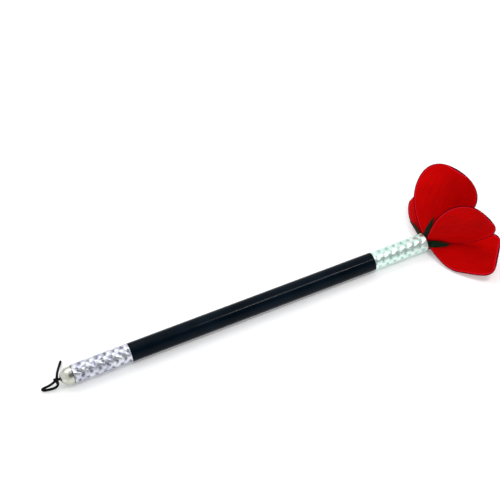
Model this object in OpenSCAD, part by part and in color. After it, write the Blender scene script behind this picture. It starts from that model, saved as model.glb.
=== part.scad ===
// Flower wand: a hollow stage wand that a cloth flower slides out of, on an elastic finger cord.
// +X runs along the wand towards the flower and +Z is up. The origin is the middle of the tube, on its axis.

/* [Tube] */
// Length of the tube
tube_len = 305; // [220:1:400]
// Outside diameter of the tube
tube_d = 15; // [12.5:0.5:20]
// Wall of the tube
tube_wall = 1; // [0.8:0.1:1.4]

/* [Foil bands] */
// Length of the foil at the mouth
front_band_len = 48; // [20:1:80]
// Length of the foil at the cap
rear_band_len = 46; // [20:1:80]
// Thickness of the foil
foil_t = 0.12; // [0.08:0.02:0.3]

/* [End cap] */
// Step from the tube's outside in to the dome's edge
cap_step = 0.5; // [0.2:0.1:1]
// How far the dome stands out of the tube
cap_h = 10.3; // [7:0.1:14]
// Straight length at the foot of the dome
cap_foot = 2.2; // [1:0.1:4]
// Length of the spigot inside the tube
spigot_len = 12; // [8:1:20]
// Wall of the spigot
spigot_wall = 1.6; // [1:0.1:2.4]

/* [Plunger] */
// Length of the plunger
plunger_len = 22; // [18:1:34]
// Radial running gap between plunger and bore
plunger_gap = 0.08; // [0.04:0.01:0.1]
// Length of each land that runs in the bore
plunger_land = 5; // [3:0.5:7]
// Depth of the waist between the lands
plunger_waist = 1.2; // [0.5:0.1:1.4]
// Diameter of the chamber that holds the cord's knot
chamber_d = 6.2; // [5.6:0.1:7]
// Wall behind the chamber
chamber_floor = 3; // [2:0.5:5]
// How far the plunger stops inside the mouth
plunger_inset = 4; // [3:0.5:8]

/* [Flower] */
// Diameter of the stem
stem_d = 3; // [2.4:0.1:3.6]
// Length of the stem's plug in the plunger
stem_plug_len = 9; // [6:0.5:11]
// Radial room between the calyx and the bore
calyx_gap = 0.9; // [0.8:0.1:1.4]
// Radial step from the calyx out to the sepals' roots
sepal_gap = 0.35; // [0.3:0.05:0.5]
// Diameter of the bead that pins the petals
core_d = 5.6; // [5:0.1:6]
// Length of the bead
core_len = 7; // [5:0.5:9]
// Thickness of a cloth petal
petal_t = 0.4; // [0.3:0.05:0.6]
// Thickness of a sepal
sepal_t = 0.4; // [0.3:0.05:0.5]
// Length of a sepal
sepal_len = 19; // [12:1:26]
// Width of a sepal
sepal_w = 6; // [4:0.5:8]
// Length of a stamen
stamen_len = 15; // [10:1:20]
// Diameter of a stamen's thread
stamen_d = 0.6; // [0.5:0.1:0.8]

/* [Cord] */
// Diameter of the elastic cord
cord_d = 2; // [1.6:0.1:2.4]
// Radial room around the cord where it passes through a hole
cord_gap = 0.3; // [0.2:0.1:0.5]
// Diameter of a knot
knot_d = 5.2; // [4.4:0.1:5.4]
// Gap between the outer knot and the dome
knot_gap = 0.15; // [0.1:0.05:0.4]

/* [Hidden] */

$fn = 64;
bore_d = tube_d - 2 * tube_wall;
rear = -tube_len / 2;
mouth = tube_len / 2;
cap_d = tube_d - 2 * cap_step;
cap_tip = rear - cap_h;
cord_hole_d = cord_d + 2 * cord_gap;
plunger_d = bore_d - 2 * plunger_gap;
plunger_front = mouth - plunger_inset;
plunger_rear = plunger_front - plunger_len;
anchor_x = plunger_rear + chamber_floor + knot_d / 2;
knot_x = cap_tip - knot_gap - knot_d / 2;
calyx_d = bore_d - 2 * calyx_gap;
calyx_rear = mouth - 3.4;
calyx_front = mouth + 0.6;
core_rear = calyx_front;
core_front = core_rear + core_len;
root_r = core_d / 2 + 0.6;       // where the petals start, just clear of the bead

// The free cord's points, from the middle of the outer knot at the wand's axis
loop_points = [[-1.2, -0.2, -0.5], [-3.5, -0.5, -1.6], [-6.2, -0.6, -2.6], [-8.8, -0.3, -3.6],
               [-10.8, 0.1, -4.5], [-11.9, 0.2, -5.5], [-11.2, -0.3, -6.4], [-9.2, -0.9, -6.5],
               [-6.8, -1.4, -6.5], [-4, -1.8, -6.4], [-1.6, -1.9, -5.8], [0, -1.7, -4.4],
               [0.6, -1.3, -3.1], [0.4, -1, -2.3]];
tail_points = [[0.2, 2.3, 0.9], [1, 3.2, 0.9], [2.1, 4.7, 0.5], [3.4, 7.6, -1], [5, 11.2, -3],
               [6.8, 14.8, -5], [8.4, 17.9, -6.3], [9.4, 19.4, -6.4]];

// Petals: [lean, extra lean at the tip, way round, roll, cup radius, length, width, start beyond the mouth,
// squareness of the end, where it is widest]. The way round is 0 on the -Y side and 90 at the top, and a
// roll turns the leaf about its own middle line. A squareness of 2 is a round end, 1 a pointed one and 4 a
// square one. Where it is widest is a share of the length
outer_petals = [[65, -15, 109, -40, 56, 63, 54, 1.9, 2.2, 0.65],
                [64, -4, 56, -38, 56, 66, 41, 1.5, 2.4, 0.65],
                [49, -2, 15.5, 48, 64, 59, 37.5, 1.9, 4.8, 0.5],
                [62, 0, 132, -31, 43, 57, 38, 2.8, 2.4, 0.65],
                [67, -26, 168, -53, 58, 54, 39, 3.4, 1.06, 0.7]];
inner_petals = [[32, -4, 79, 9, 37, 42, 32, 4.2, 2.4, 0.65],
                [10, -13, 236, 0, 14, 42, 32, 4.7, 2.4, 0.65],
                [15, 3, 31, 26, 27, 42, 32, 4.5, 2.4, 0.65]];
petal_root_share = 0.05;         // width left at a petal's root, as a share of its width
// Sepals: [lean, way round]
sepals = [[42, 27], [58, 101], [82, 182], [6, 227], [22, 331]];
sepal_bend = 8;                  // extra lean at a sepal's tip
sepal_cup = 12;                  // cup radius of a sepal
sepal_start = 0.4;               // how far beyond the mouth a sepal starts
sepal_point = 1.2;               // squareness of a sepal's end
sepal_widest = 0.25;             // where a sepal is widest, as a share of its length
sepal_root_share = 0.8;          // width left at a sepal's root, as a share of its width

// A solid tube of the given radius along a list of points, with 8 sides
function unit(v) = v / norm(v);
function path_tangent(p, i) = unit(p[min(i + 1, len(p) - 1)] - p[max(i - 1, 0)]);
module swept_cord(points, radius) {
    sides = 8;
    rings = [for (i = [0 : len(points) - 1])
        let (t = path_tangent(points, i), side = unit(cross(t, [0.1, 0.2, 1])), up = cross(side, t))
        for (k = [0 : sides - 1])
            points[i] + radius * (cos(360 * k / sides) * side + sin(360 * k / sides) * up)];
    walls = [for (i = [0 : len(points) - 2]) for (k = [0 : sides - 1])
        let (a = i * sides + k, b = i * sides + (k + 1) % sides)
        [a, b, b + sides, a + sides]];
    last = (len(points) - 1) * sides;
    polyhedron(rings, concat([[for (k = [sides - 1 : -1 : 0]) k]], walls, [[for (k = [0 : sides - 1]) last + k]]));
}

// A leaf of cloth: an arc from the root that leans out, cupped across, widest part way along
petal_rows = 12;
petal_cols = 10;
tip_half = 0.3;                  // half the width left at the very tip
function arc_out(u, lean, bend, length) = abs(bend) < 0.1
    ? length * u * [cos(lean), sin(lean)]
    : length / (bend * PI / 180) * [sin(lean + bend * u) - sin(lean), cos(lean) - cos(lean + bend * u)];
function half_width(u, root_share, square, widest) = u < widest
    ? root_share + (1 - root_share) * sin(90 * u / widest)
    : pow(max(1 - pow((u - widest) / (1 - widest), square), 0), 1 / square);
function row_at(i, widest) = i <= petal_rows / 2
    ? widest * i / (petal_rows / 2)
    : widest + (1 - widest) * sin(90 * (i - petal_rows / 2) / (petal_rows / 2));
function leaf_point(p, i, j, side, thick, root_share, root) =
    let (u = row_at(i, p[9]),
         out = [0, -cos(p[2]), sin(p[2])],
         at = arc_out(u, p[0], p[1], p[5]),
         lean = p[0] + p[1] * u,
         across = [0, sin(p[2]), cos(p[2])],
         inward = [sin(lean), cos(lean) * cos(p[2]), -cos(lean) * sin(p[2])],
         flat_way = cos(p[3]) * across + sin(p[3]) * inward,
         cup_way = cos(p[3]) * inward - sin(p[3]) * across,
         half = max(p[6] / 2 * half_width(u, root_share, p[8], p[9]), tip_half),
         turn = half * (-1 + 2 * j / petal_cols) / p[4] * 180 / PI)
    [mouth + p[7] + at[0], 0, 0] + (root + at[1]) * out
    + p[4] * (sin(turn) * flat_way + (1 - cos(turn)) * cup_way)
    + side * thick / 2 * (cos(turn) * cup_way - sin(turn) * flat_way);
module leaf(p, thick, root_share, root) {
    cols = petal_cols + 1;
    sheet = (petal_rows + 1) * cols;
    points = [for (side = [1, -1]) for (i = [0 : petal_rows]) for (j = [0 : petal_cols])
        leaf_point(p, i, j, side, thick, root_share, root)];
    faces_inside = [for (i = [0 : petal_rows - 1]) for (j = [0 : petal_cols - 1])
        let (a = i * cols + j) each [[a, a + 1, a + cols + 1], [a, a + cols + 1, a + cols]]];
    faces_outside = [for (f = faces_inside) [f[0] + sheet, f[2] + sheet, f[1] + sheet]];
    rim = concat([for (j = [0 : petal_cols - 1]) [j, j + 1]],
                 [for (i = [0 : petal_rows - 1]) [i * cols + petal_cols, (i + 1) * cols + petal_cols]],
                 [for (j = [petal_cols : -1 : 1]) [petal_rows * cols + j, petal_rows * cols + j - 1]],
                 [for (i = [petal_rows : -1 : 1]) [i * cols, (i - 1) * cols]]);
    faces_rim = [for (e = rim) each [[e[1], e[0], e[0] + sheet], [e[1], e[0] + sheet, e[1] + sheet]]];
    polyhedron(points, concat(faces_inside, faces_outside, faces_rim));
}
module petal(p) { leaf(p, petal_t, petal_root_share, root_r); }

// A solid of revolution about the wand's axis, from points given as [radius, x]
module turned(points) { rotate([0, 90, 0]) rotate_extrude() polygon(points); }
module sleeve(x, length, outside, inside) {
    translate([x, 0, 0]) rotate([0, 90, 0]) difference() {
        cylinder(h = length, d = outside);
        translate([0, 0, -1]) cylinder(h = length + 2, d = inside);
    }
}
module knot_at(x) {
    translate([x, 0, 0]) {
        sphere(d = knot_d - cord_d * 0.4);
        rotate([0, 25, 0]) rotate_extrude() translate([(knot_d - cord_d) / 2, 0]) circle(d = cord_d);
    }
}

module tube() {
    color([0.02, 0.03, 0.05]) sleeve(rear, tube_len, tube_d, bore_d);
}
module front_band() {
    color([0.80, 0.90, 0.88]) sleeve(mouth - front_band_len, front_band_len, tube_d + 2 * foil_t, tube_d);
}
module rear_band() {
    color([0.80, 0.81, 0.86]) sleeve(rear, rear_band_len, tube_d + 2 * foil_t, tube_d);
}
module end_cap() {
    steps = 16;
    hole_r = cord_hole_d / 2;
    edge = acos(hole_r / (cap_d / 2));     // where the dome meets the cord's hole
    dome = [for (k = [0 : steps])
        [cap_d / 2 * cos(edge * k / steps), rear - cap_foot - (cap_h - cap_foot) * sin(edge * k / steps) / sin(edge)]];
    color([0.79, 0.79, 0.76])
        turned(concat([[hole_r, cap_tip]], [for (k = [steps - 1 : -1 : 0]) dome[k]],
                      [[cap_d / 2, rear], [bore_d / 2, rear], [bore_d / 2, rear + spigot_len],
                       [bore_d / 2 - spigot_wall, rear + spigot_len], [bore_d / 2 - spigot_wall, rear],
                       [hole_r, rear - cap_foot]]));
}
module plunger() {
    r = plunger_d / 2;
    color([0.10, 0.10, 0.11]) turned([
        [cord_hole_d / 2, plunger_rear], [r, plunger_rear], [r, plunger_rear + plunger_land],
        [r - plunger_waist, plunger_rear + plunger_land + 1], [r - plunger_waist, plunger_front - plunger_land - 1],
        [r, plunger_front - plunger_land], [r, plunger_front], [chamber_d / 2, plunger_front],
        [chamber_d / 2, plunger_rear + chamber_floor], [cord_hole_d / 2, plunger_rear + chamber_floor]]);
}
module stem() {
    color([0.10, 0.25, 0.10]) turned([
        [0, plunger_front - stem_plug_len], [chamber_d / 2, plunger_front - stem_plug_len],
        [chamber_d / 2, plunger_front], [stem_d / 2, plunger_front], [stem_d / 2, core_front - 1.5],
        [0, core_front - 1.5]]);
}
module calyx() {
    r = calyx_d / 2;
    color([0.06, 0.20, 0.08]) turned([
        [stem_d / 2, calyx_rear], [stem_d / 2 + 1.4, calyx_rear], [r - 1.6, calyx_rear + 1.2],
        [r - 0.5, calyx_rear + 2.4], [r, calyx_rear + 3.4], [r, calyx_front], [stem_d / 2, calyx_front]]);
}
module flower_core() {
    r = core_d / 2;
    color([0.45, 0.50, 0.12]) turned([
        [stem_d / 2, core_rear], [r, core_rear], [r, core_front - 2], [r - 0.6, core_front - 0.7],
        [r - 1.6, core_front], [0, core_front], [0, core_front - 1.5], [stem_d / 2, core_front - 1.5]]);
}
module stamens() {
    count = 12;
    color([0.85, 0.70, 0.10]) for (k = [0 : count - 1])
        rotate([360 * k / count, 0, 0]) translate([core_front - 0.5, 0, 1.3]) rotate([0, 90 - 10 + 4 * (k % 2), 0]) {
            cylinder(h = stamen_len - 3 * (k % 2), d = stamen_d, $fn = 16);
            translate([0, 0, stamen_len - 3 * (k % 2)]) sphere(d = 1.3, $fn = 16);
        }
}
module inner_cord() {
    color([0.03, 0.03, 0.03]) translate([knot_x, 0, 0]) rotate([0, 90, 0])
        cylinder(h = anchor_x - knot_x, d = cord_d);
}
module anchor_knot() { color([0.03, 0.03, 0.03]) knot_at(anchor_x); }
module cord_knot() { color([0.03, 0.03, 0.03]) knot_at(knot_x); }
module cord_loop() {
    color([0.03, 0.03, 0.03]) swept_cord([for (p = loop_points) p + [knot_x, 0, 0]], cord_d / 2);
}
module cord_tail() {
    color([0.03, 0.03, 0.03]) swept_cord([for (p = tail_points) p + [knot_x, 0, 0]], cord_d / 2);
}
module sepal(s) {
    color([0.08, 0.22, 0.09])
        leaf([s[0], sepal_bend, s[1], 0, sepal_cup, sepal_len, sepal_w, sepal_start, sepal_point, sepal_widest],
             sepal_t, sepal_root_share, calyx_d / 2 + sepal_gap);
}

tube();
front_band();
rear_band();
end_cap();
plunger();
stem();
calyx();
flower_core();
stamens();
inner_cord();
anchor_knot();
cord_knot();
cord_loop();
cord_tail();
for (k = [1 : 5]) sepal(sepals[k - 1]);
for (k = [1 : 5]) color([0.70, 0, 0.01]) petal(outer_petals[k - 1]);
for (k = [1 : 3]) color([0.60, 0, 0.01]) petal(inner_petals[k - 1]);
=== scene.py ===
import math

import bmesh
import bpy
import numpy as np
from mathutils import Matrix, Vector


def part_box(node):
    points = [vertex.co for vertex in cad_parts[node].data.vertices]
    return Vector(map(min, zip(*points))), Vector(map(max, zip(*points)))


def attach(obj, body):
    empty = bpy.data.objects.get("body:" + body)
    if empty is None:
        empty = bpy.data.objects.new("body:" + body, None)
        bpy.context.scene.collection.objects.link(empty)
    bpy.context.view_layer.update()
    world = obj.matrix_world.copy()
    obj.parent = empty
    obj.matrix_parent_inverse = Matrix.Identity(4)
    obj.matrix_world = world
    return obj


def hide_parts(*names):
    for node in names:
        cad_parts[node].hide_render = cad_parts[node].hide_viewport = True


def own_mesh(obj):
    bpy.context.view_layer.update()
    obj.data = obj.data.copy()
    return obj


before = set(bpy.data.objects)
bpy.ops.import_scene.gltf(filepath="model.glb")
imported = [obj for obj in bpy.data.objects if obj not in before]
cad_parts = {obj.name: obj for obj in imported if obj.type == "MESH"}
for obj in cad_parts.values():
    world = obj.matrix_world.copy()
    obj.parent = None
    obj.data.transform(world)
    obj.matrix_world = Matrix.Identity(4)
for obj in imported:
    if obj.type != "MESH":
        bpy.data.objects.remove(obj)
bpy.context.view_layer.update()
scene = bpy.context.scene
mm = 0.001

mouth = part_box("tube")[1].x
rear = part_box("tube")[0].x
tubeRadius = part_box("tube")[1].z
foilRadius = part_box("front_band")[1].z
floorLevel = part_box("front_band")[0].z
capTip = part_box("end_cap")[0].x
knotX = sum(corner.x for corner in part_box("cord_knot")) / 2
print("frame loaded, tube from", round(rear, 4), "to", round(mouth, 4))


# Camera, world and lights

view = {
    "place": (-0.2361, -0.5003, 0.7707),
    "aim": (0.0195, 0.0523, 0.0),
    "lens": 86.4,
}
cameraData = bpy.data.cameras.new("camera")
cameraData.lens = view["lens"]
cameraData.sensor_width = 36
cameraData.clip_start = 0.05
cameraData.clip_end = 20
camera = bpy.data.objects.new("camera", cameraData)
camera.location = view["place"]
camera.rotation_mode = "QUATERNION"
camera.rotation_quaternion = (Vector(view["aim"]) - Vector(view["place"])).to_track_quat("-Z", "Y")
scene.collection.objects.link(camera)
scene.camera = camera


def mathNode(tree, operation, *values):
    node = tree.nodes.new("ShaderNodeMath")
    node.operation = operation
    for socket, value in zip(node.inputs, values):
        if isinstance(value, (int, float)):
            socket.default_value = value
        else:
            tree.links.new(value, socket)
    return node.outputs[0]


def separate(tree, vector):
    node = tree.nodes.new("ShaderNodeSeparateXYZ")
    tree.links.new(vector, node.inputs[0])
    return node.outputs


def tone(red, green, blue):
    # A display colour from 0 to 255 as the linear colour a shader takes
    shares = (red / 255, green / 255, blue / 255)
    linear = [c / 12.92 if c <= 0.04045 else ((c + 0.055) / 1.055) ** 2.4 for c in shares]
    return (*linear, 1.0)


studio = {
    "room": 0.92,              # brightness of the room all round
    "flag": 0.10,              # what is left of it where the dark flag hangs
    "flagWay": (0.22, -0.62, 0.75),
    "flagWide": (0.82, 0.93),  # cosines where the flag ends and where it is full
    "stripPower": 2.0,
    "stripPlace": (0.30, -0.20, 0.85),
    "stripSize": (0.30, 0.035),
    "keyPower": 5.0,
    "keyPlace": (-0.35, 0.75, 1.05),
    "keySize": 0.9,
}


def makeWorld():
    world = bpy.data.worlds.new("studio")
    scene.world = world
    world.use_nodes = True
    tree = world.node_tree
    coordinates = tree.nodes.new("ShaderNodeTexCoord").outputs["Generated"]
    dot = tree.nodes.new("ShaderNodeVectorMath")
    dot.operation = "DOT_PRODUCT"
    tree.links.new(coordinates, dot.inputs[0])
    dot.inputs[1].default_value = Vector(studio["flagWay"]).normalized()
    ramp = tree.nodes.new("ShaderNodeMapRange")
    ramp.interpolation_type = "SMOOTHSTEP"
    tree.links.new(dot.outputs["Value"], ramp.inputs["Value"])
    for name, value in (("From Min", studio["flagWide"][0]), ("From Max", studio["flagWide"][1]),
                        ("To Min", studio["room"]), ("To Max", studio["flag"])):
        ramp.inputs[name].default_value = value
    background = tree.nodes["Background"]
    background.inputs["Color"].default_value = (0.98, 0.99, 1.0, 1)
    tree.links.new(ramp.outputs["Result"], background.inputs["Strength"])


def areaLight(name, place, size, power, aim=(0.02, 0, 0)):
    data = bpy.data.lights.new(name, "AREA")
    data.energy = power
    data.shape = "RECTANGLE"
    data.size, data.size_y = size if isinstance(size, tuple) else (size, size)
    light = bpy.data.objects.new(name, data)
    light.location = place
    light.rotation_mode = "QUATERNION"
    light.rotation_quaternion = (Vector(aim) - Vector(place)).to_track_quat("-Z", "Y")
    scene.collection.objects.link(light)


makeWorld()
areaLight("strip light", studio["stripPlace"], studio["stripSize"], studio["stripPower"], aim=(0.30, 0, 0))
areaLight("key light", studio["keyPlace"], studio["keySize"], studio["keyPower"])
scene.view_settings.view_transform = "Standard"
print("camera and light ready")


# Materials

def newMaterial(name, values):
    material = bpy.data.materials.new(name)
    material.use_nodes = True
    tree = material.node_tree
    shader = tree.nodes["Principled BSDF"]
    for socket, value in values.items():
        shader.inputs[socket].default_value = value
    return material, tree, shader


def objectPoint(tree):
    return tree.nodes.new("ShaderNodeTexCoord").outputs["Object"]


def uvPoint(tree, layer):
    node = tree.nodes.new("ShaderNodeUVMap")
    node.uv_map = layer
    return node.outputs["UV"]


def pieceAttribute(tree, name):
    node = tree.nodes.new("ShaderNodeAttribute")
    node.attribute_name = name
    return node.outputs["Fac"]


def stretched(tree, vector, scale):
    node = tree.nodes.new("ShaderNodeMapping")
    tree.links.new(vector, node.inputs["Vector"])
    node.inputs["Scale"].default_value = scale
    return node.outputs["Vector"]


def noise(tree, vector, scale, detail=3.0, rough=0.55):
    node = tree.nodes.new("ShaderNodeTexNoise")
    tree.links.new(vector, node.inputs["Vector"])
    node.inputs["Scale"].default_value = scale
    node.inputs["Detail"].default_value = detail
    node.inputs["Roughness"].default_value = rough
    return node.outputs["Fac"]


def ramp(tree, value, stops):
    node = tree.nodes.new("ShaderNodeValToRGB")
    tree.links.new(value, node.inputs["Fac"])
    points = node.color_ramp.elements
    while len(points) < len(stops):
        points.new(0.5)
    for point, (place, colour) in zip(points, stops):
        point.position = place
        point.color = colour
    return node.outputs["Color"]


def spread(tree, value, fromLow, fromHigh, toLow, toHigh):
    node = tree.nodes.new("ShaderNodeMapRange")
    tree.links.new(value, node.inputs["Value"])
    ends = {"From Min": fromLow, "From Max": fromHigh, "To Min": toLow, "To Max": toHigh}
    for name, number in ends.items():
        node.inputs[name].default_value = number
    return node.outputs["Result"]


def weighted(tree, first, firstShare, second, secondShare):
    return mathNode(tree, "ADD", mathNode(tree, "MULTIPLY", first, firstShare),
                    mathNode(tree, "MULTIPLY", second, secondShare))


def mixColour(tree, share, first, second, blend="MIX"):
    node = tree.nodes.new("ShaderNodeMix")
    node.data_type = "RGBA"
    node.blend_type = blend
    for socket, value in ((node.inputs["Factor"], share), (node.inputs[6], first), (node.inputs[7], second)):
        if isinstance(value, (int, float, tuple)):
            socket.default_value = value
        else:
            tree.links.new(value, socket)
    return node.outputs[2]


def setBump(tree, shader, height, strength, distance):
    node = tree.nodes.new("ShaderNodeBump")
    tree.links.new(height, node.inputs["Height"])
    node.inputs["Strength"].default_value = strength
    node.inputs["Distance"].default_value = distance
    tree.links.new(node.outputs["Normal"], shader.inputs["Normal"])


def glossTubeMaterial():
    material, tree, shader = newMaterial("gloss black tube", {"Specular IOR Level": 0.055})
    place = objectPoint(tree)
    streaks = noise(tree, stretched(tree, place, (0.03, 1, 1)), 1400, 4)
    clouds = noise(tree, place, 60, 2)
    tree.links.new(mixColour(tree, spread(tree, clouds, 0.35, 0.65, 0, 1), tone(3, 11, 19), tone(7, 18, 28)),
                   shader.inputs["Base Color"])
    tree.links.new(mathNode(tree, "ADD", spread(tree, streaks, 0.3, 0.7, 0.10, 0.2),
                            spread(tree, clouds, 0.4, 0.7, 0.0, 0.05)), shader.inputs["Roughness"])
    setBump(tree, shader, streaks, 0.06, 0.00006)
    return material


def foilMaterial(name, valleyReflection, crest, tint, smooth, dents):
    # Embossed foil: pale crests and valleys painted darker as a painted dark reflection, broken up by the
    # crumple of the wrap, a slow drift of tint
    material, tree, shader = newMaterial(name, {"Metallic": 1.0})
    place = objectPoint(tree)
    lens = pieceAttribute(tree, "lens")
    drift = noise(tree, place, 140, 2)
    crumple = noise(tree, stretched(tree, place, (0.6, 1, 1)), 700, 3)
    grain = noise(tree, place, 3200, 3)
    # painted reflection: where the lens cells and the crumple dip, the base colour darkens towards the
    # painted reflection tone
    reflectionMask = mathNode(tree, "ADD", lens, spread(tree, crumple, 0.3, 0.7, -0.6, 0.6))
    base = ramp(tree, spread(tree, reflectionMask, -1, 1, 0, 1), [(0.0, valleyReflection), (0.55, crest), (1.0, crest)])
    tinted = mixColour(tree, spread(tree, drift, 0.35, 0.7, 0, 1), base, tint, "MULTIPLY")
    tree.links.new(tinted, shader.inputs["Base Color"])
    tree.links.new(spread(tree, grain, 0.3, 0.7, smooth, smooth + 0.12), shader.inputs["Roughness"])
    height = mathNode(tree, "ADD", mathNode(tree, "MULTIPLY", lens, 0.8), crumple)
    setBump(tree, shader, height, dents, 0.0004)
    return material


def pearlMaterial():
    material, tree, shader = newMaterial("pearl cap", {"Metallic": 0.9, "Coat Weight": 0.3,
                                                      "Coat Roughness": 0.06})
    place = objectPoint(tree)
    flakes = noise(tree, place, 5200, 2)
    swirl = noise(tree, place, 260, 3)
    base = mixColour(tree, spread(tree, swirl, 0.35, 0.65, 0, 1), tone(176, 178, 164), tone(204, 204, 194))
    tree.links.new(mixColour(tree, spread(tree, flakes, 0.5, 0.75, 0, 0.35), base, tone(250, 248, 240)),
                   shader.inputs["Base Color"])
    tree.links.new(spread(tree, flakes, 0.3, 0.7, 0.16, 0.26), shader.inputs["Roughness"])
    setBump(tree, shader, flakes, 0.08, 0.00003)
    return material


def petalMaterial(name, deep, bright, rim, rimDark):
    # Stiffened woven cloth: threads both ways, streaks that fan from the root, a pale band of painted
    # highlight along the curled rim and a darker line at the very edge
    material, tree, shader = newMaterial(name, {"Specular IOR Level": 0.02})
    fan = uvPoint(tree, "fan")
    weave = uvPoint(tree, "weave")
    fanStreaks = noise(tree, stretched(tree, fan, (1, 0.10, 1)), 26, 4)
    patches = noise(tree, stretched(tree, fan, (1, 0.8, 1)), 2.6, 3)
    cross = separate(tree, weave)
    thread = 2 * math.pi / 0.36    # threads 0.36 mm apart; this map is in millimetres
    warp = mathNode(tree, "SINE", mathNode(tree, "MULTIPLY", cross[0], thread))
    weft = mathNode(tree, "SINE", mathNode(tree, "MULTIPLY", cross[1], thread))
    cloth = mathNode(tree, "MULTIPLY", warp, weft)
    slubs = noise(tree, stretched(tree, weave, (2.2, 0.16, 1)), 1.0, 2)
    shade = weighted(tree, fanStreaks, 0.35, patches, 0.65)
    base = mixColour(tree, spread(tree, shade, 0.34, 0.66, 0, 1), deep, bright)
    threads = mixColour(tree, spread(tree, cloth, -1, 1, 0.0, 0.16), base, deep)
    # the attribute is 1 at the rim and 0 from 2.2 mm in
    edge = pieceAttribute(tree, "edge")
    none, rimHighlightShare, full = (0, 0, 0, 1), (0.7, 0.7, 0.7, 1), (1, 1, 1, 1)
    # painted highlight: a pale band just inside the rim, where the curled edge of the cloth catches the light
    pale = ramp(tree, edge, [(0.0, none), (0.08, none), (0.4, rimHighlightShare), (1.0, rimHighlightShare)])
    dark = ramp(tree, edge, [(0.0, none), (0.52, none), (0.68, full), (1.0, full)])
    outer = mixColour(tree, dark, mixColour(tree, pale, threads, rim), rimDark)
    tree.links.new(outer, shader.inputs["Base Color"])
    setBump(tree, shader, weighted(tree, cloth, 0.5, slubs, 0.8), 0.35, 0.00008)
    tree.links.new(spread(tree, slubs, 0.3, 0.7, 0.55, 0.72), shader.inputs["Roughness"])
    return material


def leafPlasticMaterial():
    material, tree, shader = newMaterial("dark green leaf", {"Specular IOR Level": 0.04})
    place = objectPoint(tree)
    mottle = noise(tree, place, 420, 3)
    grain = noise(tree, place, 3600, 2)
    tree.links.new(mixColour(tree, spread(tree, mottle, 0.35, 0.65, 0, 1), tone(4, 16, 7), tone(11, 34, 15)),
                   shader.inputs["Base Color"])
    tree.links.new(spread(tree, mottle, 0.3, 0.7, 0.36, 0.52), shader.inputs["Roughness"])
    setBump(tree, shader, grain, 0.15, 0.00005)
    return material


def elasticMaterial():
    material, tree, shader = newMaterial("black braided elastic", {"Specular IOR Level": 0.1})
    place = objectPoint(tree)
    strand_shade = pieceAttribute(tree, "strand_shade")
    fuzz = noise(tree, place, 2600, 3)
    # painted shade in the grooves between the strands and a painted sheen on their crests
    tree.links.new(mixColour(tree, spread(tree, strand_shade, -1, 1, 0, 1), tone(2, 2, 4), tone(18, 17, 21)),
                   shader.inputs["Base Color"])
    tree.links.new(spread(tree, fuzz, 0.3, 0.7, 0.6, 0.85), shader.inputs["Roughness"])
    setBump(tree, shader, fuzz, 0.3, 0.00006)
    return material


def mouldedMaterial(name, dark, light, low, high):
    material, tree, shader = newMaterial(name, {"Specular IOR Level": 0.4})
    place = objectPoint(tree)
    mottle = noise(tree, place, 300, 3)
    grain = noise(tree, place, 3000, 2)
    tree.links.new(mixColour(tree, spread(tree, mottle, 0.35, 0.65, 0, 1), dark, light),
                   shader.inputs["Base Color"])
    tree.links.new(spread(tree, grain, 0.3, 0.7, low, high), shader.inputs["Roughness"])
    setBump(tree, shader, grain, 0.12, 0.00005)
    return material


tubeGloss = glossTubeMaterial()
# each foil's first colour is the dark reflection painted into its valleys
frontFoil = foilMaterial("mint lens foil",
                         tone(178, 204, 198), tone(238, 252, 247), tone(226, 248, 240), 0.34, 0.5)
rearFoil = foilMaterial("silver lens foil",
                        tone(120, 121, 132), tone(226, 228, 234), tone(206, 206, 220), 0.24, 1.0)
pearl = pearlMaterial()
# each cloth's third colour is its painted rim highlight
petalCloth = petalMaterial("red petal cloth",
                           tone(164, 0, 0), tone(194, 0, 0), tone(224, 20, 40), tone(84, 0, 6))
innerCloth = petalMaterial("deep red petal cloth",
                           tone(150, 0, 0), tone(184, 0, 0), tone(202, 8, 14), tone(92, 0, 8))
leafGreen = leafPlasticMaterial()
elastic = elasticMaterial()
plungerBlack = mouldedMaterial("plunger plastic", tone(30, 30, 33), tone(48, 48, 52), 0.35, 0.5)
stemGreen = mouldedMaterial("stem plastic", tone(20, 70, 26), tone(38, 96, 40), 0.4, 0.55)
beadGreen = mouldedMaterial("flower bead", tone(120, 128, 34), tone(150, 156, 52), 0.5, 0.7)
stamenYellow = mouldedMaterial("stamen thread", tone(206, 170, 30), tone(236, 204, 70), 0.6, 0.8)
print("materials made:", len(bpy.data.materials))


# Mesh helpers

def makePiece(name, points, faces, material, sharp=None):
    mesh = bpy.data.meshes.new(name)
    mesh.from_pydata([tuple(p) for p in points], [], faces)
    mesh.materials.append(material)
    piece = bpy.data.objects.new(name, mesh)
    scene.collection.objects.link(piece)
    mesh.shade_smooth()
    if sharp:
        mesh.set_sharp_from_angle(angle=math.radians(sharp))
    return piece


def faceOutwards(piece, merge=0.0):
    shape = bmesh.new()
    shape.from_mesh(piece.data)
    if merge:
        bmesh.ops.remove_doubles(shape, verts=shape.verts, dist=merge)
    bmesh.ops.recalc_face_normals(shape, faces=shape.faces)
    shape.to_mesh(piece.data)
    shape.free()
    piece.data.update()


def pointValues(piece, name, values):
    attribute = piece.data.attributes.new(name, "FLOAT", "POINT")
    attribute.data.foreach_set("value", np.asarray(values, np.float32).ravel())


def smoothPath(points, step):
    # An even, rounded line through given points
    p = np.array(points, float)
    p = np.vstack([2 * p[0] - p[1], p, 2 * p[-1] - p[-2]])
    fine = []
    for i in range(1, len(p) - 2):
        for t in np.linspace(0, 1, 24, endpoint=False):
            a, b, c, d = p[i - 1], p[i], p[i + 1], p[i + 2]
            fine.append(0.5 * (2 * b + (c - a) * t + (2 * a - 5 * b + 4 * c - d) * t * t
                               + (3 * b - a - 3 * c + d) * t ** 3))
    fine.append(p[-2])
    fine = np.array(fine)
    along = np.concatenate([[0], np.cumsum(np.linalg.norm(np.diff(fine, axis=0), axis=1))])
    count = max(2, int(round(along[-1] / step)) + 1)
    even = np.linspace(0, along[-1], count)
    return np.column_stack([np.interp(even, along, fine[:, k]) for k in range(3)]), along[-1]


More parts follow.
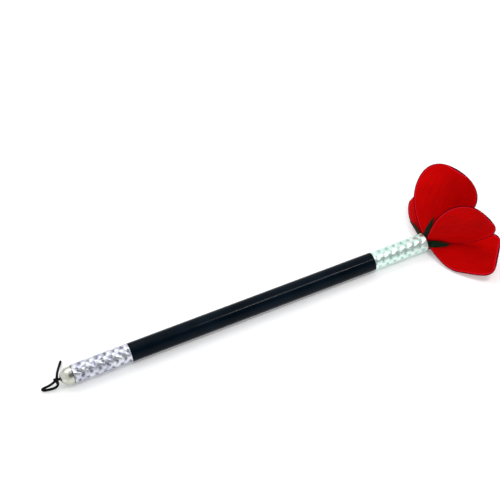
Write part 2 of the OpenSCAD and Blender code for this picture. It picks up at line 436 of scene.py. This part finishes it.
def braidedTube(name, path, radius, cordLook, material, closed=False):
    # A round cord with crossing strands raised on it, swept along a path without twisting
    path = np.asarray(path, float)
    count = len(path)
    if closed:
        tangents = np.roll(path, -1, 0) - np.roll(path, 1, 0)
    else:
        tangents = np.gradient(path, axis=0)
    tangents /= np.linalg.norm(tangents, axis=1)[:, None]
    side = np.cross(tangents[0], (0.1, 0.2, 1.0))
    side /= np.linalg.norm(side)
    sides = cordLook["sides"]
    angles = np.linspace(0, 2 * math.pi, sides, endpoint=False)
    steps = np.linalg.norm(np.diff(path, axis=0, prepend=path[:1]), axis=1).cumsum()
    points, raised = [], []
    for k in range(count):
        side = side - tangents[k] * np.dot(side, tangents[k])
        side /= np.linalg.norm(side)
        up = np.cross(tangents[k], side)
        turn = 2 * math.pi * steps[k] / cordLook["lay"]
        strands = np.cos(cordLook["strands"] * angles + turn) * np.cos(cordLook["strands"] * angles - turn)
        end = 1.0
        if not closed:
            fromEnd = min(k, count - 1 - k)
            end = (0.72, 0.93)[fromEnd] if fromEnd < 2 else 1.0
        around = radius * end * (1 - cordLook["relief"] * (1 - strands) / 2)
        ways = np.cos(angles)[:, None] * side + np.sin(angles)[:, None] * up
        points.append(path[k] + around[:, None] * ways)
        raised.append(strands)
    faces = []
    for k in range(count if closed else count - 1):
        a, b = k * sides, (k + 1) % count * sides
        faces += [(a + j, a + (j + 1) % sides, b + (j + 1) % sides, b + j) for j in range(sides)]
    if not closed:
        faces += [tuple(range(sides - 1, -1, -1)), tuple((count - 1) * sides + j for j in range(sides))]
    piece = makePiece(name, np.vstack(points), faces, material)
    # the strand pattern stored here only feeds the painted shade and sheen in the elastic's colour
    pointValues(piece, "strand_shade", np.concatenate(raised))
    faceOutwards(piece)
    return piece


def turnedPiece(name, profile, sides, material, ripple=None, sharp=35):
    # A closed profile of (radius, x) turned about the wand's axis, with an optional ripple round it
    points, faces = [], []
    for k in range(sides):
        angle = 2 * math.pi * k / sides
        for radius, x in profile:
            r = radius + (ripple(angle, radius, x) if ripple and radius > 1e-6 else 0)
            points.append((x, -r * math.cos(angle), r * math.sin(angle)))
    rows = len(profile)
    for k in range(sides):
        a, b = k * rows, (k + 1) % sides * rows
        faces += [(a + i, b + i, b + (i + 1) % rows, a + (i + 1) % rows) for i in range(rows)]
    piece = makePiece(name, points, faces, material)
    shape = bmesh.new()
    shape.from_mesh(piece.data)
    bmesh.ops.remove_doubles(shape, verts=shape.verts, dist=1e-7)
    bmesh.ops.dissolve_degenerate(shape, edges=shape.edges, dist=1e-8)
    bmesh.ops.recalc_face_normals(shape, faces=shape.faces)
    shape.to_mesh(piece.data)
    shape.free()
    piece.data.shade_smooth()
    piece.data.set_sharp_from_angle(angle=math.radians(sharp))
    return piece


# Finger cord: out of the cap's hole, through the knot, round the loop, back through the knot to its free end

fingerCord = {
    "diameter": 2 * mm,
    "loop": [(-1.2, -0.2, -0.5), (-3.5, -0.5, -1.6), (-6.2, -0.6, -2.6), (-8.8, -0.3, -3.6),
             (-10.8, 0.1, -4.5), (-11.9, 0.2, -5.5), (-11.2, -0.3, -6.4), (-9.2, -0.9, -6.5),
             (-6.8, -1.4, -6.5), (-4, -1.8, -6.4), (-1.6, -1.9, -5.8), (0, -1.7, -4.4), (0.6, -1.2, -2.6),
             (0.4, -0.4, -1.2)],
    "tail": [(0.3, 0.7, 0.3), (1.1, 1.9, 0.9), (2.1, 4.3, 0.5), (3.4, 7.6, -1), (5, 11.2, -3),
             (6.8, 14.8, -5), (8.4, 17.9, -6.3), (9.4, 19.4, -6.4)],
    "sides": 20,
    "strands": 4,
    "lay": 3.2 * mm,
    "relief": 0.10,
    "knotSize": 1.55 * mm,
}


def makeCord():
    radius = fingerCord["diameter"] / 2
    cordExit = (capTip, 0.0, 0.0)
    route = [cordExit, (knotX + 1.2 * mm, 0, 0)]
    route += [(knotX + x * mm, y * mm, z * mm) for x, y, z in fingerCord["loop"] + fingerCord["tail"]]
    path, length = smoothPath(route, 0.28 * mm)
    cord = braidedTube("finger_cord", path, radius, fingerCord, elastic)
    turns = np.linspace(0, 2 * math.pi, 150, endpoint=False)
    size = fingerCord["knotSize"]
    knotPath = np.column_stack([
        knotX + 0.62 * size * (np.sin(turns) + 0.9 * np.sin(2 * turns)) * 0.75,
        0.62 * size * (np.cos(turns) - 1.1 * np.cos(2 * turns)),
        0.8 * size * -np.sin(3 * turns) * 0.85 - 0.1 * mm,
    ])
    knot = braidedTube("cord_knot_tied", knotPath, radius * 0.98, fingerCord, elastic, closed=True)
    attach(knot, "flower")
    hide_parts("cord_knot")
    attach(cord, "flower")
    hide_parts("cord_loop", "cord_tail")
    print("finger cord made,", round(length * 1000, 1), "mm free")


makeCord()


def makeInnerCord():
    low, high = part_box("inner_cord")
    path = np.column_stack([np.linspace(low.x, high.x, 420), np.zeros(420), np.zeros(420)])
    look = dict(fingerCord, sides=14)
    cord = braidedTube("cord_in_bore", path, fingerCord["diameter"] / 2, look, elastic)
    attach(cord, "flower")
    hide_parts("inner_cord")


makeInnerCord()


# Geometry Nodes: one tree wraps a sleeve round the axis, with or without lens cells raised on it

def newGeometryTree(name, inputs):
    tree = bpy.data.node_groups.new(name, "GeometryNodeTree")
    tree.interface.new_socket("Geometry", in_out="OUTPUT", socket_type="NodeSocketGeometry")
    keys = {}
    for label, value in inputs.items():
        if isinstance(value, bpy.types.Material):
            kind = "NodeSocketMaterial"
        else:
            kind = "NodeSocketInt" if isinstance(value, int) else "NodeSocketFloat"
        socket = tree.interface.new_socket(label, in_out="INPUT", socket_type=kind)
        socket.default_value = value
        keys[label] = socket.identifier
    return tree, tree.nodes.new("NodeGroupInput").outputs, keys


def closeTree(tree, geometry, material):
    realize = tree.nodes.new("GeometryNodeRealizeInstances")
    paint = tree.nodes.new("GeometryNodeSetMaterial")
    sink = tree.nodes.new("NodeGroupOutput")
    tree.links.new(geometry, realize.inputs["Geometry"])
    tree.links.new(realize.outputs["Geometry"], paint.inputs["Geometry"])
    tree.links.new(material, paint.inputs["Material"])
    tree.links.new(paint.outputs["Geometry"], sink.inputs[0])


def grow(name, tree, keys, values):
    # Runs the tree once and keeps its result as a plain mesh
    piece = bpy.data.objects.new(name, bpy.data.meshes.new(name))
    scene.collection.objects.link(piece)
    modifier = piece.modifiers.new("shape", "NODES")
    modifier.node_group = tree
    for label, value in values.items():
        modifier[keys[label]] = value
    return bakeModifiers(piece)


def bakeModifiers(piece):
    graph = bpy.context.evaluated_depsgraph_get()
    graph.update()
    mesh = bpy.data.meshes.new_from_object(piece.evaluated_get(graph), preserve_all_data_layers=True,
                                           depsgraph=graph)
    piece.modifiers.clear()
    piece.data = mesh
    return piece


def sleeveTree():
    tree, given, keys = newGeometryTree("wrapped sleeve", {
        "Start": 0.0, "Length": 0.05, "Outside": 0.0076, "Inside": 0.0075, "Rows": 60, "Sides": 96,
        "Cell length": 0.0068, "Cells round": 10.0, "Relief": 0.0, "Crumple": 0.0, "Seam step": 0.0,
        "Seam turn": 0.86, "Seam half": 0.035, "Material": tubeGloss})

    def node(operation, *values):
        return mathNode(tree, operation, *values)

    grid = tree.nodes.new("GeometryNodeMeshGrid")
    grid.inputs["Size X"].default_value = 1
    grid.inputs["Size Y"].default_value = 1
    tree.links.new(given["Rows"], grid.inputs["Vertices X"])
    tree.links.new(node("ADD", given["Sides"], 1), grid.inputs["Vertices Y"])
    place = separate(tree, tree.nodes.new("GeometryNodeInputPosition").outputs[0])
    rows = given["Rows"]
    row = node("ROUND", node("MULTIPLY", node("ADD", place[0], 0.5), node("SUBTRACT", rows, 1)))
    turn = node("ADD", place[1], 0.5)
    # the first row and the last two lie on the inside and close the wall
    last = node("GREATER_THAN", row, node("SUBTRACT", rows, 1.5))
    nearEnd = node("GREATER_THAN", row, node("SUBTRACT", rows, 2.5))
    within = node("MAXIMUM", node("LESS_THAN", row, 0.5), nearEnd)
    share = node("DIVIDE", node("SUBTRACT", row, 1), node("SUBTRACT", rows, 4))
    share = node("MULTIPLY", node("MINIMUM", node("MAXIMUM", share, 0), 1), node("SUBTRACT", 1, last))
    along = node("MULTIPLY", share, given["Length"])
    cellAlong = node("MULTIPLY", node("DIVIDE", along, given["Cell length"]), 2 * math.pi)
    cellRound = node("MULTIPLY", node("MULTIPLY", turn, given["Cells round"]), math.pi)
    lens = node("MULTIPLY", node("COSINE", cellAlong), node("COSINE", cellRound))
    sunk = node("MULTIPLY", node("MULTIPLY", node("SUBTRACT", 1, lens), 0.5), given["Relief"])
    fromSeam = node("ABSOLUTE", node("SUBTRACT", turn, given["Seam turn"]))
    offSeam = node("GREATER_THAN", fromSeam, given["Seam half"])
    crumple = tree.nodes.new("ShaderNodeTexNoise")
    crumple.inputs["Scale"].default_value = 1.0
    crumple.inputs["Detail"].default_value = 2.0
    spot = tree.nodes.new("ShaderNodeCombineXYZ")
    tree.links.new(node("MULTIPLY", along, 420), spot.inputs[0])
    tree.links.new(node("MULTIPLY", node("COSINE", node("MULTIPLY", turn, 2 * math.pi)), 5), spot.inputs[1])
    tree.links.new(node("MULTIPLY", node("SINE", node("MULTIPLY", turn, 2 * math.pi)), 5), spot.inputs[2])
    tree.links.new(spot.outputs[0], crumple.inputs["Vector"])
    sunk = node("ADD", sunk, node("MULTIPLY", crumple.outputs["Fac"], given["Crumple"]))
    step = node("MULTIPLY", offSeam, given["Seam step"])
    outside = node("SUBTRACT", node("SUBTRACT", given["Outside"], sunk), step)
    radius = node("ADD", node("MULTIPLY", within, given["Inside"]),
                  node("MULTIPLY", node("SUBTRACT", 1, within), outside))
    angle = node("MULTIPLY", turn, 2 * math.pi)
    join = tree.nodes.new("ShaderNodeCombineXYZ")
    tree.links.new(node("ADD", given["Start"], along), join.inputs[0])
    tree.links.new(node("MULTIPLY", node("MULTIPLY", radius, node("COSINE", angle)), -1), join.inputs[1])
    tree.links.new(node("MULTIPLY", radius, node("SINE", angle)), join.inputs[2])
    keep = tree.nodes.new("GeometryNodeStoreNamedAttribute")
    keep.data_type, keep.domain = "FLOAT", "POINT"
    keep.inputs["Name"].default_value = "lens"
    tree.links.new(grid.outputs["Mesh"], keep.inputs["Geometry"])
    tree.links.new(lens, keep.inputs["Value"])
    move = tree.nodes.new("GeometryNodeSetPosition")
    tree.links.new(keep.outputs["Geometry"], move.inputs["Geometry"])
    tree.links.new(join.outputs[0], move.inputs["Position"])
    weld = tree.nodes.new("GeometryNodeMergeByDistance")
    weld.inputs["Distance"].default_value = 1e-6
    tree.links.new(move.outputs["Geometry"], weld.inputs["Geometry"])
    smooth = tree.nodes.new("GeometryNodeSetShadeSmooth")
    tree.links.new(weld.outputs["Geometry"], smooth.inputs["Geometry"])
    closeTree(tree, smooth.outputs["Geometry"], given["Material"])
    return tree, keys


foilBands = {
    "cellLength": 6.8 * mm,
    "cellsRound": 10.0,
    "relief": 0.06 * mm,
    "crumple": 0.05 * mm,
    "seamStep": 0.03 * mm,
    "rows": 170,
    "sides": 160,
}
tubeBody = {
    "wall": 1.0 * mm,
    "lip": 0.18 * mm,
    "sides": 128,
}


def makeSleeves():
    tree, keys = sleeveTree()
    for name, node, foil, slot in (("front_foil", "front_band", frontFoil, "front_foil"),
                                   ("rear_foil", "rear_band", rearFoil, "rear_foil")):
        low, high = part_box(node)
        piece = grow(name, tree, keys, {
            "Start": low.x, "Length": high.x - low.x, "Outside": foilRadius, "Inside": tubeRadius,
            "Rows": foilBands["rows"], "Sides": foilBands["sides"], "Cell length": foilBands["cellLength"],
            "Cells round": foilBands["cellsRound"], "Relief": foilBands["relief"],
            "Crumple": foilBands["crumple"],
            "Seam step": foilBands["seamStep"], "Material": foil})
        faceOutwards(piece)
        piece.data.set_sharp_from_angle(angle=math.radians(50))
        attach(piece, "wand")
        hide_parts(node)
    tube = grow("tube_body", tree, keys, {
        "Start": rear, "Length": mouth - rear, "Outside": tubeRadius, "Inside": tubeRadius - tubeBody["wall"],
        "Rows": 14, "Sides": tubeBody["sides"], "Relief": 0.0, "Material": tubeGloss})
    lips = tube.modifiers.new("lips", "BEVEL")
    lips.width = tubeBody["lip"]
    lips.segments = 2
    lips.limit_method = "ANGLE"
    lips.angle_limit = math.radians(60)
    bakeModifiers(tube)
    faceOutwards(tube)
    tube.data.shade_smooth()
    tube.data.set_sharp_from_angle(angle=math.radians(50))
    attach(tube, "wand")
    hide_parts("tube")
    print("tube and foil bands made")


makeSleeves()


# Cap: pearl dome with a soft shoulder and a rounded cord hole

capShape = {
    "step": 0.5 * mm,
    "foot": 2.2 * mm,
    "holeRadius": 1.3 * mm,
    "spigot": 12 * mm,
    "spigotWall": 1.6 * mm,
    "gapLine": 0.45 * mm,
    "groove": 0.3 * mm,
    "shoulder": 0.55 * mm,
    "tipFlat": 0.15 * mm,
    "holeEdge": 0.35 * mm,
    "holeRound": 0.12 * mm,
    "holeDepth": 0.25 * mm,
}


def makeCap():
    radius = tubeRadius - capShape["step"]
    hole = capShape["holeRadius"]
    bore = tubeRadius - tubeBody["wall"]
    inner = bore - capShape["spigotWall"]
    height = rear - capTip
    edge = math.acos((hole + capShape["holeEdge"]) / radius)
    profile = [(radius - capShape["gapLine"], rear),
               (radius - capShape["gapLine"], rear - capShape["groove"]),
               (radius, rear - capShape["shoulder"]), (radius, rear - capShape["foot"])]
    for k in range(1, 33):
        angle = edge * k / 32
        rise = (height - capShape["foot"] - capShape["tipFlat"]) * math.sin(angle) / math.sin(edge)
        profile.append((radius * math.cos(angle), rear - capShape["foot"] - rise))
    profile += [(hole + capShape["holeRound"], capTip), (hole, capTip + capShape["holeDepth"]),
                (hole, rear - capShape["foot"]),
                (inner, rear), (inner, rear + capShape["spigot"]),
                (bore, rear + capShape["spigot"]), (bore, rear)]
    cap = turnedPiece("dome_cap", profile, 96, pearl)
    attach(cap, "wand")
    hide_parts("end_cap")
    print("cap made")


makeCap()


# Calyx, bead and stamens

calyxCup = {
    "stemRadius": 1.5 * mm,
    "neck": 1.4 * mm,
    # How far inside the rim and how far up, in mm
    "flare": [(1.6, 1.2), (0.7, 2.3), (0.2, 3.0), (0.0, 3.5)],
    "lip": 0.25 * mm,
    "ribs": 10,
    "ribDepth": 0.16 * mm,
}
# "ends" is the height that the foot and the dome take together
flowerBead = {
    "bevel": 0.2 * mm,
    "foot": 0.3 * mm,
    "dome": 2.1 * mm,
    "ends": 2.4 * mm,
    "socket": 1.5 * mm,
    "seedsRound": 14,
    "seedPitch": 1.1 * mm,
    "seedDepth": 0.09 * mm,
}
stamenTuft = {
    "count": 22,
    "ring": 1.35 * mm,
    "length": 14.5 * mm,
    "thread": 0.22 * mm,
    "anther": 0.62 * mm,
    "spread": 11.0,
    "seed": 4,
}


def makeCalyx():
    low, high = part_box("calyx")
    radius = high.z
    stem = calyxCup["stemRadius"]
    lip = calyxCup["lip"]
    profile = [(stem, low.x), (stem + calyxCup["neck"], low.x)]
    profile += [(radius - inside * mm, low.x + up * mm) for inside, up in calyxCup["flare"]]
    profile += [(radius, high.x - lip), (radius - lip, high.x), (stem, high.x)]

    def ribs(angle, r, x):
        return -calyxCup["ribDepth"] * (0.5 - 0.5 * math.cos(calyxCup["ribs"] * angle)) * (r / radius) ** 2

    calyx = turnedPiece("calyx_cup", profile, 120, leafGreen, ripple=ribs)
    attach(calyx, "flower")
    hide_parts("calyx")


def makeBead():
    low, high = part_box("flower_core")
    radius = high.z
    stem = calyxCup["stemRadius"]
    foot, dome, floor = flowerBead["foot"], flowerBead["dome"], high.x - flowerBead["socket"]
    side = high.x - low.x - flowerBead["ends"]
    profile = [(stem, low.x), (radius - flowerBead["bevel"], low.x), (radius, low.x + foot)]
    profile += [(radius, low.x + foot + side * k / 12) for k in range(1, 13)]
    for k in range(1, 11):
        angle = math.pi / 2 * k / 10
        across = radius * math.cos(angle) if k < 10 else 0.0
        profile.append((across, high.x - dome + dome * math.sin(angle)))
    profile += [(0.0, floor), (stem, floor)]

    def seeds(angle, r, x):
        along = math.cos((x - low.x) * 2 * math.pi / flowerBead["seedPitch"])
        grain = math.cos(flowerBead["seedsRound"] * angle) * along
        return -flowerBead["seedDepth"] * (1 - grain) / 2 * (r / radius)

    bead = turnedPiece("flower_bead", profile, 112, beadGreen, ripple=seeds, sharp=60)
    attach(bead, "flower")
    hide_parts("flower_core")


def stamenTree():
    tree, given, keys = newGeometryTree("stamen tuft", {
        "Count": 12, "Ring": 0.001, "Start": 0.0, "Length": 0.015, "Thread": 0.0003, "Anther": 0.0006,
        "Spread": 10.0, "Bow": 0.08, "Seed": 1, "Material": stamenYellow})

    def node(operation, *values):
        return mathNode(tree, operation, *values)

    ring = tree.nodes.new("GeometryNodeMeshCircle")
    tree.links.new(given["Count"], ring.inputs["Vertices"])
    tree.links.new(given["Ring"], ring.inputs["Radius"])
    # one stamen, upright: a thread with a slight bow and a grain at its end
    line = tree.nodes.new("GeometryNodeCurvePrimitiveLine")
    top = tree.nodes.new("ShaderNodeCombineXYZ")
    tree.links.new(given["Length"], top.inputs[2])
    tree.links.new(top.outputs[0], line.inputs["End"])
    fine = tree.nodes.new("GeometryNodeResampleCurve")
    fine.inputs["Count"].default_value = 9
    tree.links.new(line.outputs[0], fine.inputs["Curve"])
    factor = tree.nodes.new("GeometryNodeSplineParameter").outputs["Factor"]
    bow = tree.nodes.new("ShaderNodeCombineXYZ")
    reach = node("MULTIPLY", node("MULTIPLY", factor, factor), given["Length"])
    tree.links.new(node("MULTIPLY", reach, given["Bow"]), bow.inputs[0])
    shift = tree.nodes.new("GeometryNodeSetPosition")
    tree.links.new(fine.outputs["Curve"], shift.inputs["Geometry"])
    tree.links.new(bow.outputs[0], shift.inputs["Offset"])
    section = tree.nodes.new("GeometryNodeCurvePrimitiveCircle")
    section.inputs["Resolution"].default_value = 8
    tree.links.new(given["Thread"], section.inputs["Radius"])
    thread = tree.nodes.new("GeometryNodeCurveToMesh")
    thread.inputs["Fill Caps"].default_value = True
    tree.links.new(shift.outputs["Geometry"], thread.inputs["Curve"])
    tree.links.new(section.outputs[0], thread.inputs["Profile Curve"])
    grain = tree.nodes.new("GeometryNodeMeshUVSphere")
    grain.inputs["Segments"].default_value = 12
    grain.inputs["Rings"].default_value = 8
    tree.links.new(given["Anther"], grain.inputs["Radius"])
    lift = tree.nodes.new("GeometryNodeTransform")
    tree.links.new(grain.outputs["Mesh"], lift.inputs["Geometry"])
    end = tree.nodes.new("ShaderNodeCombineXYZ")
    tree.links.new(node("MULTIPLY", given["Length"], given["Bow"]), end.inputs[0])
    tree.links.new(given["Length"], end.inputs[2])
    tree.links.new(end.outputs[0], lift.inputs["Translation"])
    lift.inputs["Scale"].default_value = (0.8, 0.8, 1.5)
    both = tree.nodes.new("GeometryNodeJoinGeometry")
    tree.links.new(thread.outputs["Mesh"], both.inputs[0])
    tree.links.new(lift.outputs["Geometry"], both.inputs[0])
    index = tree.nodes.new("GeometryNodeInputIndex").outputs[0]

    def random(low, high, offset):
        pick = tree.nodes.new("FunctionNodeRandomValue")
        pick.data_type = "FLOAT"
        pick.inputs[2].default_value = low
        pick.inputs[3].default_value = high
        tree.links.new(node("ADD", given["Seed"], offset), pick.inputs["Seed"])
        return pick.outputs[1]

    turn = tree.nodes.new("ShaderNodeCombineXYZ")
    tilt = node("MULTIPLY", given["Spread"], random(0.25, 1.15, 1))
    tree.links.new(node("MULTIPLY", tilt, math.pi / 180), turn.inputs[1])
    tree.links.new(node("MULTIPLY", node("DIVIDE", index, given["Count"]), 2 * math.pi), turn.inputs[2])
    plant = tree.nodes.new("GeometryNodeInstanceOnPoints")
    tree.links.new(ring.outputs["Mesh"], plant.inputs["Points"])
    tree.links.new(both.outputs[0], plant.inputs["Instance"])
    tree.links.new(turn.outputs[0], plant.inputs["Rotation"])
    tree.links.new(random(0.78, 1.0, 2), plant.inputs["Scale"])
    lay = tree.nodes.new("GeometryNodeTransform")
    lay.inputs["Rotation"].default_value = (0, math.pi / 2, 0)
    start = tree.nodes.new("ShaderNodeCombineXYZ")
    tree.links.new(given["Start"], start.inputs[0])
    tree.links.new(start.outputs[0], lay.inputs["Translation"])
    tree.links.new(plant.outputs["Instances"], lay.inputs["Geometry"])
    closeTree(tree, lay.outputs["Geometry"], given["Material"])
    return tree, keys


def makeStamens():
    tree, keys = stamenTree()
    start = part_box("flower_core")[1].x - 0.6 * mm
    tuft = grow("stamen_tuft", tree, keys, {
        "Count": stamenTuft["count"], "Ring": stamenTuft["ring"], "Start": start,
        "Length": stamenTuft["length"], "Thread": stamenTuft["thread"],
        "Anther": stamenTuft["anther"], "Spread": stamenTuft["spread"],
        "Seed": stamenTuft["seed"], "Material": stamenYellow})
    tuft.data.shade_smooth()
    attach(tuft, "flower")
    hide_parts("stamens")
    print("calyx, bead and stamens made")


makeCalyx()
makeBead()
makeStamens()


# Petals and sepals, each row: lean, lean added by the tip, way round, roll, cup radius, length, width, start,
# squareness of the end and where the leaf is widest

petalRing = {
    "rootRadius": 3.4,
    "rootShare": 0.05,
    "thickness": 0.32,
    "hem": 0.16,               # added to the thickness at the rim
    "hemWidth": 1.1,
    "ruffle": 0.55,
    "rows": 64,
    "cols": 52,
    "keep": 0.12,              # share of the width left when drawn into the tube
    "tuck": 2.6,               # how far a rolled petal also draws in towards the axis, in mm
    "petals": [
        (65, -15, 109, -40, 56, 63, 54, 1.9, 2.2, 0.65),
        (64, -4, 56, -38, 56, 66, 41, 1.5, 2.4, 0.65),
        (49, -2, 15.5, 48, 64, 59, 37.5, 1.9, 4.8, 0.5),
        (62, 0, 132, -31, 43, 57, 38, 2.8, 2.4, 0.65),
        (67, -26, 168, -53, 58, 54, 39, 3.4, 1.06, 0.7),
    ],
    "innerPetals": [
        (32, -4, 79, 9, 37, 42, 32, 4.2, 2.4, 0.65),
        (10, -13, 236, 0, 14, 42, 32, 4.7, 2.4, 0.65),
        (15, 3, 31, 26, 27, 42, 32, 4.5, 2.4, 0.65),
    ],
}
sepalRing = {
    "rootRadius": 5.95,
    "rootShare": 0.8,
    "widest": 0.25,
    "squareness": 1.5,
    "thickness": 0.38,
    "rib": 0.3,
    "bend": 8,
    "cup": 12,
    "length": 19,
    "width": 6,
    "start": 0.4,
    "rows": 40,
    "cols": 20,
    "keep": 0.5,
    "tuck": 0.0,
    "sepals": [(42, 27), (58, 101), (82, 182), (6, 227), (22, 331)],
}


def unitVectors(row, u):
    # The leaf's own ways at each share u of its length: out from the axis, across and inwards
    lean, bend, way, roll = (np.radians(row[k]) for k in range(4))
    out = np.array([0, -np.cos(way), np.sin(way)])
    across = np.array([0, np.sin(way), np.cos(way)])
    angle = lean + bend * u
    inward = np.stack([np.sin(angle), np.cos(angle) * np.cos(way), -np.cos(angle) * np.sin(way)], -1)
    flat = np.cos(roll) * across + np.sin(roll) * inward
    cup = np.cos(roll) * inward - np.sin(roll) * across
    return out, flat, cup


def midLine(row, rootRadius, u):
    lean, bend = np.radians(row[0]), np.radians(row[1])
    if abs(bend) < 0.002:
        forward, outward = u * np.cos(lean), u * np.sin(lean)
    else:
        forward = (np.sin(lean + bend * u) - np.sin(lean)) / bend
        outward = (np.cos(lean) - np.cos(lean + bend * u)) / bend
    out = unitVectors(row, u)[0]
    start = np.array([mouth / mm + row[7], 0, 0])
    ahead = row[5] * forward[..., None] * np.array([1, 0, 0])
    return start + ahead + (rootRadius + row[5] * outward)[..., None] * out


def halfWidth(u, rootShare, widest, squareness):
    early = rootShare + (1 - rootShare) * np.sin(np.pi / 2 * np.clip(u / widest, 0, 1))
    late = np.clip(1 - np.clip((u - widest) / (1 - widest), 0, 1) ** squareness, 0, 1) ** (1 / squareness)
    return np.where(u < widest, early, late)


def leafPiece(name, row, shape, material, lift, thicken):
    # A closed thin leaf, in mm. u runs along it and v across, and inset is the distance in from its rim.
    # lift(u, v, inset) moves it along its normal and thicken(u, v, inset) gives its thickness
    rows, cols = shape["rows"], shape["cols"]
    half = rows // 2
    widest = row[9]
    u = np.concatenate([np.linspace(0, widest, half + 1)[:-1],
                        widest + (1 - widest) * np.sin(np.linspace(0, np.pi / 2, rows - half + 1))])
    v = np.sin(np.linspace(-np.pi / 2, np.pi / 2, cols + 1)) * 0.35 + np.linspace(-1, 1, cols + 1) * 0.65
    uu, vv = np.meshgrid(u, v, indexing="ij")
    width = np.maximum(row[6] / 2 * halfWidth(uu, shape["rootShare"], widest, row[8]), 0.3)
    out, flat, cup = unitVectors(row, uu)
    turn = width * vv / row[4]
    middle = midLine(row, shape["rootRadius"], uu)
    sheet = middle + row[4] * (np.sin(turn)[..., None] * flat + (1 - np.cos(turn))[..., None] * cup)
    normal = np.cos(turn)[..., None] * cup - np.sin(turn)[..., None] * flat
    inset = np.minimum((1 - np.abs(vv)) * width, (1 - uu) * row[5] * 0.8 + 0.02)
    sheet = sheet + lift(uu, vv, inset)[..., None] * normal
    thick = thicken(uu, vv, inset)[..., None]
    # where a ruffle would dip into the table the cloth rests on it instead
    lowest = floorLevel / mm + 0.05 + np.abs(normal[..., 2]) * thick[..., 0] / 2
    sheet[..., 2] = np.maximum(sheet[..., 2], lowest)
    sides = [(sheet + side * normal * thick / 2).reshape(-1, 3) for side in (1, -1)]
    points = np.concatenate(sides) * mm
    wide = cols + 1
    total = (rows + 1) * wide
    faces = []
    for i in range(rows):
        for j in range(cols):
            a = i * wide + j
            faces.append((a, a + wide, a + wide + 1, a + 1))
            faces.append((total + a, total + a + 1, total + a + wide + 1, total + a + wide))
    rim = [(j, j + 1) for j in range(cols)]
    rim += [(i * wide + cols, (i + 1) * wide + cols) for i in range(rows)]
    rim += [(rows * wide + j, rows * wide + j - 1) for j in range(cols, 0, -1)]
    rim += [(i * wide, (i - 1) * wide) for i in range(rows, 0, -1)]
    faces += [(a, b, b + total, a + total) for a, b in rim]
    piece = makePiece(name, points, faces, material)
    pointValues(piece, "edge", np.tile(np.clip(1 - inset / 2.2, 0, 1).ravel(), 2))
    spots = {"fan": np.stack([(vv + 1) / 2, uu], -1), "weave": np.stack([width * vv, uu * row[5]], -1)}
    index = np.zeros(len(piece.data.loops), np.int32)
    piece.data.loops.foreach_get("vertex_index", index)
    for layer, values in spots.items():
        both = np.concatenate([values.reshape(-1, 2)] * 2)
        piece.data.uv_layers.new(name=layer).data.foreach_set("uv", both[index].astype(np.float32).ravel())
    faceOutwards(piece)
    piece.data.shade_smooth()
    piece.data.set_sharp_from_angle(angle=math.radians(60))
    return piece


def foldAway(piece):
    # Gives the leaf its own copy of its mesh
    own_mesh(piece)


def makePetal(name, row, cloth, seed):
    shape = petalRing
    picks = np.random.default_rng(seed)
    waves = [(picks.uniform(1.5, 3.5), picks.uniform(0, 6.28), picks.uniform(1.0, 2.6)) for _ in range(4)]

    def lift(u, v, inset):
        soft = sum(np.sin(k * np.pi * v + phase + w * 3 * u) for k, phase, w in waves) / 4
        rim = np.exp(-inset / 6.0)
        pleats = np.cos(11 * np.pi * v) * 0.05 * np.sin(np.pi * np.clip(u, 0, 1)) ** 0.5
        return (shape["ruffle"] * soft * (0.25 + 0.75 * rim) + pleats) * np.clip(u / 0.35, 0, 1) ** 1.5

    def thicken(u, v, inset):
        return shape["thickness"] + shape["hem"] * np.exp(-(inset / shape["hemWidth"]) ** 2)

    piece = leafPiece(name, row, shape, cloth, lift, thicken)
    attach(piece, name.replace("_cloth", ""))
    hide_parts(name.replace("_cloth", ""))
    foldAway(piece)


def makeSepal(name, lean, way):
    shape = sepalRing
    row = [lean, shape["bend"], way, 0, shape["cup"], shape["length"], shape["width"], shape["start"],
           shape["squareness"], shape["widest"]]

    def lift(u, v, inset):
        return 0.12 * np.sin(5 * u + way) * u

    def thicken(u, v, inset):
        rib = shape["rib"] * np.exp(-(v / 0.16) ** 2) * np.clip(1 - u, 0, 1)
        veins = 0.06 * np.cos(18 * u - 9 * np.abs(v)) * np.clip(1 - np.abs(v), 0, 1)
        return shape["thickness"] + rib + veins - 0.12 * np.abs(v)

    piece = leafPiece(name, row, shape, leafGreen, lift, thicken)
    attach(piece, name.replace("_leaf", ""))
    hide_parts(name.replace("_leaf", ""))
    foldAway(piece)


for number, row in enumerate(petalRing["petals"], 1):
    makePetal(f"petal_{number}_cloth", row, petalCloth, 20 + number)
for number, row in enumerate(petalRing["innerPetals"], 1):
    makePetal(f"inner_petal_{number}_cloth", row, innerCloth, 40 + number)
for number, (lean, way) in enumerate(sepalRing["sepals"], 1):
    makeSepal(f"sepal_{number}_leaf", lean, way)
print("petals and sepals made")


# The inside pieces keep their own shapes and take a finish

def paint(node, material):
    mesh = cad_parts[node].data
    mesh.materials.clear()
    mesh.materials.append(material)


paint("plunger", plungerBlack)
paint("stem", stemGreen)
paint("anchor_knot", elastic)


# Table top

tableTop = {
    "size": 5.0,
    "pale": tone(246, 246, 247),
    "paler": tone(250, 250, 250),
    "lift": 0.16,              # light of its own, which keeps the shadows faint
}


def makeTable():
    half = tableTop["size"] / 2
    material, tree, shader = newMaterial("pale table", {"Roughness": 0.85, "Specular IOR Level": 0.05,
                                                       "Emission Color": tone(250, 250, 251),
                                                       "Emission Strength": tableTop["lift"]})
    place = objectPoint(tree)
    tree.links.new(mixColour(tree, noise(tree, place, 6, 2), tableTop["pale"], tableTop["paler"]),
                   shader.inputs["Base Color"])
    setBump(tree, shader, noise(tree, place, 900, 2), 0.05, 0.0001)
    corners = [(x * half, y * half, floorLevel) for x, y in ((-1, -1), (1, -1), (1, 1), (-1, 1))]
    top = makePiece("table_top", corners, [(0, 1, 2, 3)], material)


makeTable()
